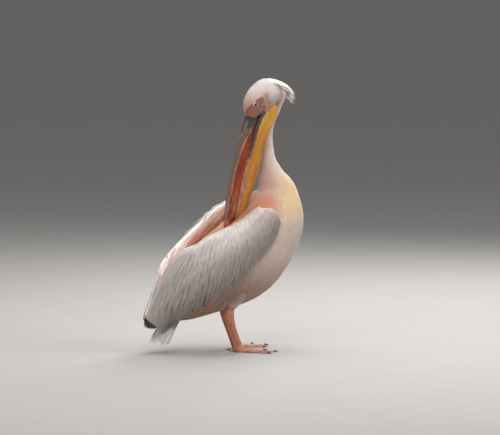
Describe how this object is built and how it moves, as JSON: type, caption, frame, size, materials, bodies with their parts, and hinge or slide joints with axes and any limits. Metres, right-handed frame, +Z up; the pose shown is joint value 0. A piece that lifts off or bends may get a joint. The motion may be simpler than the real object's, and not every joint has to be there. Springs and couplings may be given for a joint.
{
  "type": "pelican",
  "caption": "Life-size still model of a standing pelican that preens its back with the neck raised, the head turned over its right shoulder and the long pouched bill pointing down.",
  "frame": {"origin": "on the floor, below the middle of the bird's box, between and a little behind the feet", "axes": "+X the way the body faces, +Y the bird's left, +Z up"},
  "size_m": [0.5437, 0.3148, 0.8728],
  "materials": {
    "plumage": "matt",
    "wing": "matt",
    "quill": "satin",
    "bill": "satin",
    "jaw": "satin",
    "nail": "gloss",
    "pouch": "satin",
    "leg": "satin",
    "eye": "gloss"
  },
  "bodies": {
    "root": {"bill_lower": "jaw", "bill_nail": "nail", "bill_upper": "bill", "crest": "wing", "eye_left": "eye", "eye_right": "eye", "foot_left": "leg", "foot_right": "leg", "head": "plumage", "neck_lower": "plumage", "neck_middle": "plumage", "neck_upper": "plumage", "pouch": "pouch", "shank_left": "leg", "shank_right": "leg", "tail": "wing", "thigh_left": "plumage", "thigh_right": "plumage", "trunk": "plumage", "wing_left_arm": "wing", "wing_left_flight": "wing", "wing_left_primaries": "quill", "wing_left_scapulars": "wing", "wing_right_arm": "wing", "wing_right_flight": "wing", "wing_right_primaries": "quill", "wing_right_scapulars": "wing"}
  },
  "joints": []
}
